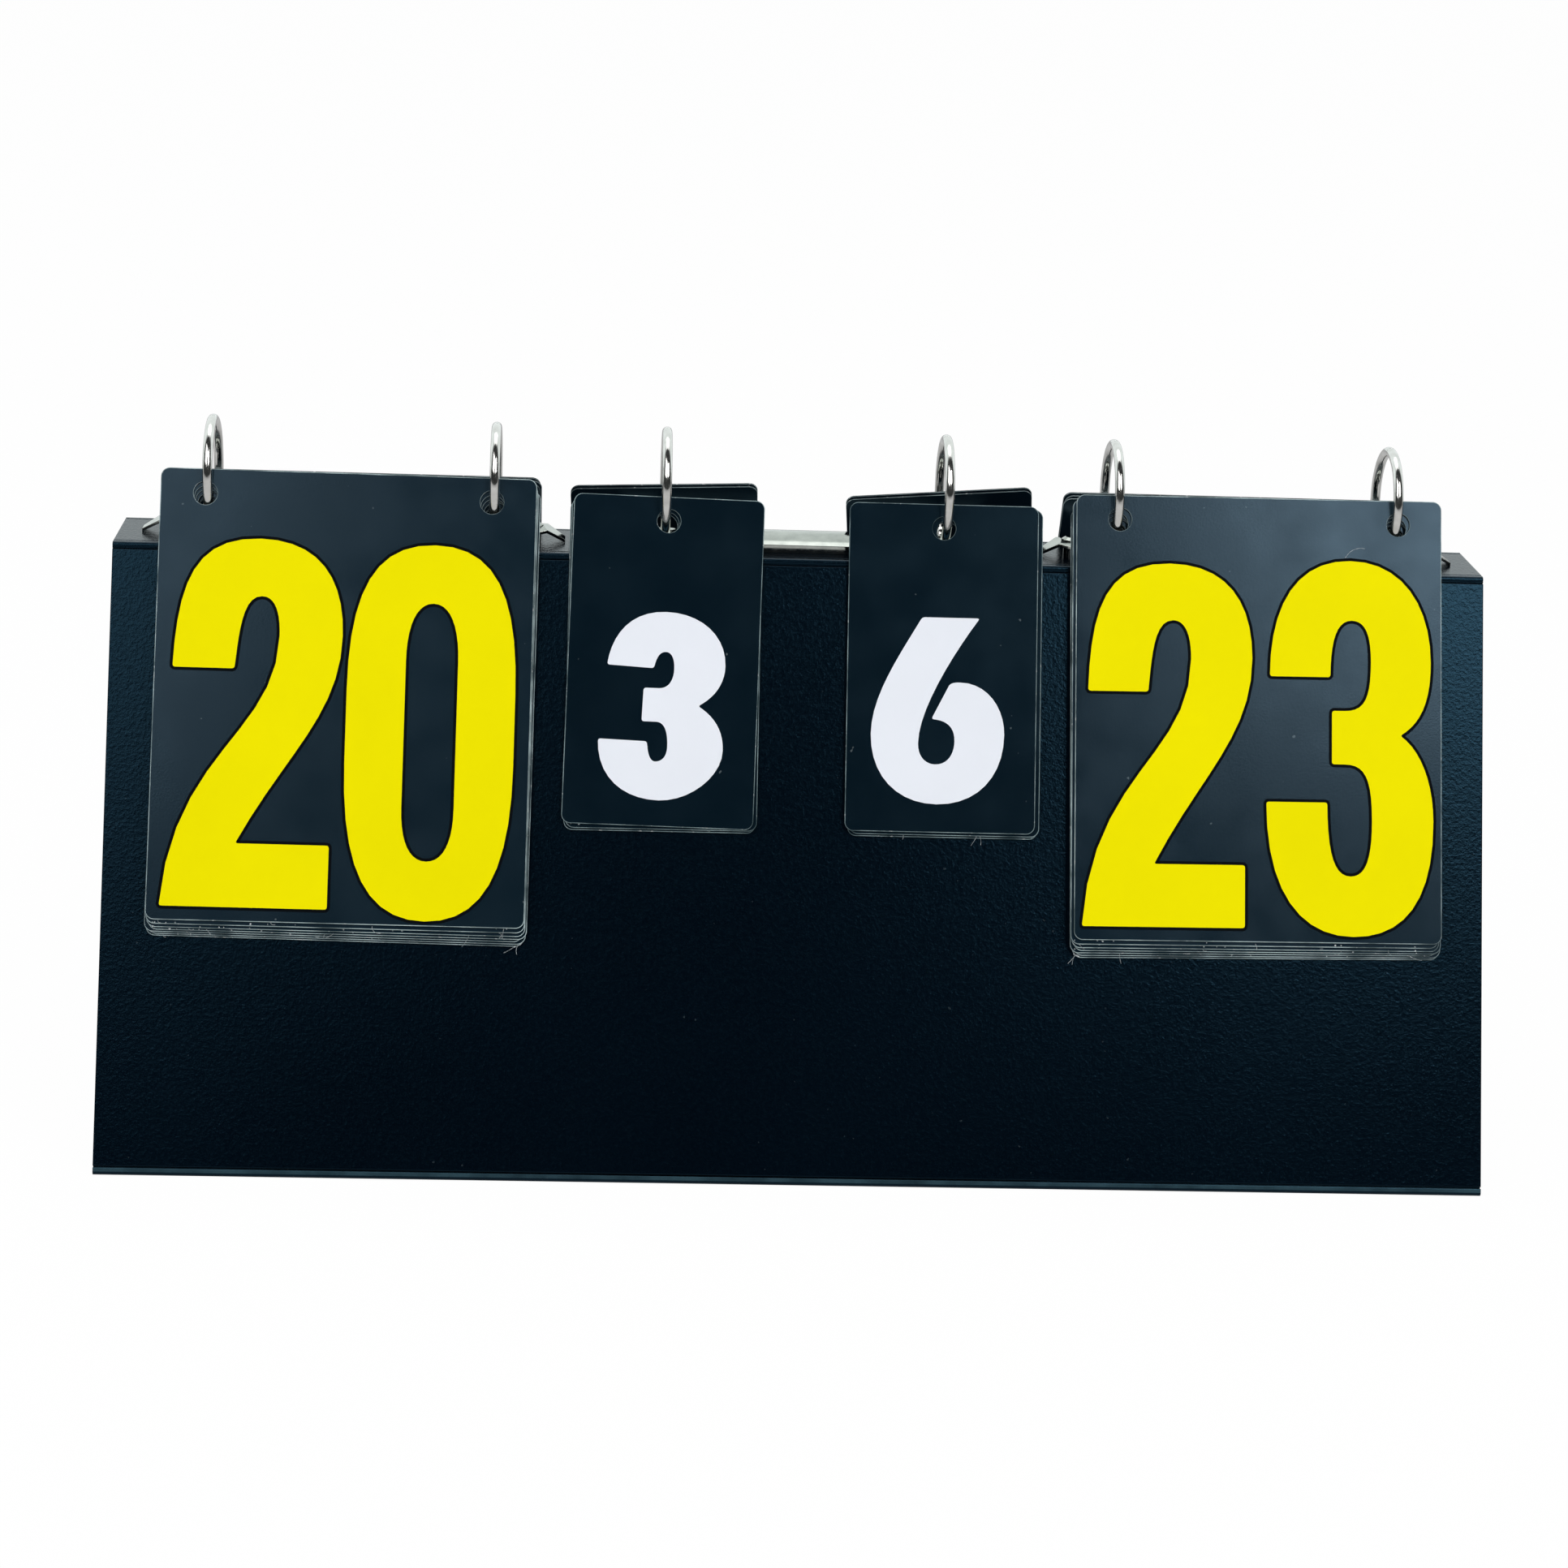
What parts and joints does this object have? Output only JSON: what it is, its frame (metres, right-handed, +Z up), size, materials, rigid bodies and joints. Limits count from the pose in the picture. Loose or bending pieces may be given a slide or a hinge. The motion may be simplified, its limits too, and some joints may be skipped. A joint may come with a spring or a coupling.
{
  "type": "tabletop flip scoreboard",
  "caption": "Folding A-frame sheet case with ring binder mechanisms on its spine, carrying large and small flip-over number cards, base flap closed by hook and loop pads.",
  "frame": {"origin": "middle of the footprint on the table, on the underside of the base flap", "axes": "+X along the spine to the right of a reader in front, -Y towards that reader, +Z up"},
  "size_m": [0.39, 0.1613, 0.1981],
  "materials": {
    "sheet": "fine pebble grain",
    "large_card": "satin",
    "small_card": "satin",
    "yellow_print": "satin print",
    "white_print": "satin print",
    "nickel": "polished nickel plating",
    "blade_steel": "plain steel",
    "pad": "woven hook and loop"
  },
  "bodies": {
    "spine": {"spine": "sheet", "left_cover": "nickel", "left_rivets": "nickel", "middle_cover": "nickel", "middle_rivets": "nickel", "right_cover": "nickel", "right_rivets": "nickel"},
    "front_panel": {"front_panel": "sheet"},
    "rear_panel": {"rear_panel": "sheet", "loop_pads": "pad"},
    "base_flap": {"base_flap": "sheet"},
    "closing_tab": {"closing_tab": "sheet", "hook_pads": "pad"},
    "left_front_ring_half": {"left_front_blade": "blade_steel", "left_front_half_rings": "nickel"},
    "left_rear_ring_half": {"left_rear_blade": "blade_steel", "left_rear_half_rings": "nickel"},
    "middle_front_ring_half": {"middle_front_blade": "blade_steel", "middle_front_half_rings": "nickel"},
    "middle_rear_ring_half": {"middle_rear_blade": "blade_steel", "middle_rear_half_rings": "nickel"},
    "right_front_ring_half": {"right_front_blade": "blade_steel", "right_front_half_rings": "nickel"},
    "right_rear_ring_half": {"right_rear_blade": "blade_steel", "right_rear_half_rings": "nickel"},
    "left_score_pack": {"left_score_pack": "large_card"},
    "left_score_card": {"left_score_card": "large_card", "left_score_numerals": "yellow_print"},
    "left_score_turned_pack": {"left_score_turned_pack": "large_card"},
    "left_score_turned_card": {"left_score_turned_card": "large_card"},
    "left_set_pack": {"left_set_pack": "small_card"},
    "left_set_card": {"left_set_card": "small_card", "left_set_numeral": "white_print"},
    "left_set_turned_pack": {"left_set_turned_pack": "small_card"},
    "left_set_turned_card": {"left_set_turned_card": "small_card"},
    "right_set_pack": {"right_set_pack": "small_card"},
    "right_set_card": {"right_set_card": "small_card", "right_set_numeral": "white_print"},
    "right_set_turned_pack": {"right_set_turned_pack": "small_card"},
    "right_set_turned_card": {"right_set_turned_card": "small_card"},
    "right_score_pack": {"right_score_pack": "large_card"},
    "right_score_card": {"right_score_card": "large_card", "right_score_numerals": "yellow_print"},
    "right_score_turned_pack": {"right_score_turned_pack": "large_card"},
    "right_score_turned_card": {"right_score_turned_card": "large_card"}
  },
  "joints": [
    {"name": "front_panel_hinge", "type": "hinge", "parent": "spine", "child": "front_panel", "pos_m": [0, -0.014, 0.16326], "axis": [1, 0, 0], "range_deg": [0, 22]},
    {"name": "rear_panel_hinge", "type": "hinge", "parent": "spine", "child": "rear_panel", "pos_m": [0, 0.014, 0.16326], "axis": [-1, 0, 0], "range_deg": [0, 22]},
    {"name": "base_flap_hinge", "type": "hinge", "parent": "front_panel", "child": "base_flap", "pos_m": [0, -0.07956, 0.001], "axis": [-1, 0, 0], "range_deg": [0, 176]},
    {"name": "closing_tab_hinge", "type": "hinge", "parent": "base_flap", "child": "closing_tab", "pos_m": [0, 0.0747, 0.001], "axis": [1, 0, 0], "range_deg": [0, 25]},
    {"name": "left_front_ring_hinge", "type": "hinge", "parent": "spine", "child": "left_front_ring_half", "pos_m": [-0.1284, -0.00695, 0.16566], "axis": [-1, 0, 0], "range_deg": [-10, 0]},
    {"name": "left_rear_ring_hinge", "type": "hinge", "parent": "spine", "child": "left_rear_ring_half", "pos_m": [-0.1284, 0.00695, 0.16566], "axis": [1, 0, 0], "range_deg": [-10, 0]},
    {"name": "middle_front_ring_hinge", "type": "hinge", "parent": "spine", "child": "middle_front_ring_half", "pos_m": [0, -0.00695, 0.16566], "axis": [-1, 0, 0], "range_deg": [-10, 0]},
    {"name": "middle_rear_ring_hinge", "type": "hinge", "parent": "spine", "child": "middle_rear_ring_half", "pos_m": [0, 0.00695, 0.16566], "axis": [1, 0, 0], "range_deg": [-10, 0]},
    {"name": "right_front_ring_hinge", "type": "hinge", "parent": "spine", "child": "right_front_ring_half", "pos_m": [0.1284, -0.00695, 0.16566], "axis": [-1, 0, 0], "range_deg": [-10, 0]},
    {"name": "right_rear_ring_hinge", "type": "hinge", "parent": "spine", "child": "right_rear_ring_half", "pos_m": [0.1284, 0.00695, 0.16566], "axis": [1, 0, 0], "range_deg": [-10, 0]},
    {"name": "left_score_pack_hang", "type": "hinge", "parent": "left_front_ring_half", "child": "left_score_pack", "pos_m": [-0.1284, 0, 0.18216], "axis": [1, 0, 0], "range_deg": [-10, 0]},
    {"name": "left_score_turned_pack_hang", "type": "hinge", "parent": "left_rear_ring_half", "child": "left_score_turned_pack", "pos_m": [-0.1284, 0, 0.18216], "axis": [-1, 0, 0], "range_deg": [-10, 0]},
    {"name": "left_score_card_flip", "type": "hinge", "parent": "left_score_pack", "child": "left_score_card", "pos_m": [-0.1284, 0, 0.18216], "axis": [-1, 0, 0], "range_deg": [0, 140]},
    {"name": "left_score_turned_card_flip", "type": "hinge", "parent": "left_score_turned_pack", "child": "left_score_turned_card", "pos_m": [-0.1284, 0, 0.18216], "axis": [-1, 0, 0], "range_deg": [-95, 0]},
    {"name": "left_set_pack_hang", "type": "hinge", "parent": "middle_front_ring_half", "child": "left_set_pack", "pos_m": [-0.04, 0, 0.18216], "axis": [1, 0, 0], "range_deg": [-10, 0]},
    {"name": "left_set_turned_pack_hang", "type": "hinge", "parent": "middle_rear_ring_half", "child": "left_set_turned_pack", "pos_m": [-0.04, 0, 0.18216], "axis": [-1, 0, 0], "range_deg": [-10, 0]},
    {"name": "left_set_card_flip", "type": "hinge", "parent": "left_set_pack", "child": "left_set_card", "pos_m": [-0.04, 0, 0.18216], "axis": [-1, 0, 0], "range_deg": [0, 140]},
    {"name": "left_set_turned_card_flip", "type": "hinge", "parent": "left_set_turned_pack", "child": "left_set_turned_card", "pos_m": [-0.04, 0, 0.18216], "axis": [-1, 0, 0], "range_deg": [-95, 0]},
    {"name": "right_set_pack_hang", "type": "hinge", "parent": "middle_front_ring_half", "child": "right_set_pack", "pos_m": [0.04, 0, 0.18216], "axis": [1, 0, 0], "range_deg": [-10, 0]},
    {"name": "right_set_turned_pack_hang", "type": "hinge", "parent": "middle_rear_ring_half", "child": "right_set_turned_pack", "pos_m": [0.04, 0, 0.18216], "axis": [-1, 0, 0], "range_deg": [-10, 0]},
    {"name": "right_set_card_flip", "type": "hinge", "parent": "right_set_pack", "child": "right_set_card", "pos_m": [0.04, 0, 0.18216], "axis": [-1, 0, 0], "range_deg": [0, 140]},
    {"name": "right_set_turned_card_flip", "type": "hinge", "parent": "right_set_turned_pack", "child": "right_set_turned_card", "pos_m": [0.04, 0, 0.18216], "axis": [-1, 0, 0], "range_deg": [-95, 0]},
    {"name": "right_score_pack_hang", "type": "hinge", "parent": "right_front_ring_half", "child": "right_score_pack", "pos_m": [0.1284, 0, 0.18216], "axis": [1, 0, 0], "range_deg": [-10, 0]},
    {"name": "right_score_turned_pack_hang", "type": "hinge", "parent": "right_rear_ring_half", "child": "right_score_turned_pack", "pos_m": [0.1284, 0, 0.18216], "axis": [-1, 0, 0], "range_deg": [-10, 0]},
    {"name": "right_score_card_flip", "type": "hinge", "parent": "right_score_pack", "child": "right_score_card", "pos_m": [0.1284, 0, 0.18216], "axis": [-1, 0, 0], "range_deg": [0, 140]},
    {"name": "right_score_turned_card_flip", "type": "hinge", "parent": "right_score_turned_pack", "child": "right_score_turned_card", "pos_m": [0.1284, 0, 0.18216], "axis": [-1, 0, 0], "range_deg": [-95, 0]}
  ],
  "couplings": [
    {"joint": "front_panel_hinge", "follows": "base_flap_hinge", "ratio": 0.125},
    {"joint": "rear_panel_hinge", "follows": "base_flap_hinge", "ratio": 0.125},
    {"joint": "left_rear_ring_hinge", "follows": "left_front_ring_hinge", "ratio": 1},
    {"joint": "middle_rear_ring_hinge", "follows": "middle_front_ring_hinge", "ratio": 1},
    {"joint": "right_rear_ring_hinge", "follows": "right_front_ring_hinge", "ratio": 1},
    {"joint": "left_score_pack_hang", "follows": "left_front_ring_hinge", "ratio": 1},
    {"joint": "left_score_turned_pack_hang", "follows": "left_front_ring_hinge", "ratio": 1},
    {"joint": "left_set_pack_hang", "follows": "middle_front_ring_hinge", "ratio": 1},
    {"joint": "left_set_turned_pack_hang", "follows": "middle_front_ring_hinge", "ratio": 1},
    {"joint": "right_set_pack_hang", "follows": "middle_front_ring_hinge", "ratio": 1},
    {"joint": "right_set_turned_pack_hang", "follows": "middle_front_ring_hinge", "ratio": 1},
    {"joint": "right_score_pack_hang", "follows": "right_front_ring_hinge", "ratio": 1},
    {"joint": "right_score_turned_pack_hang", "follows": "right_front_ring_hinge", "ratio": 1}
  ]
}
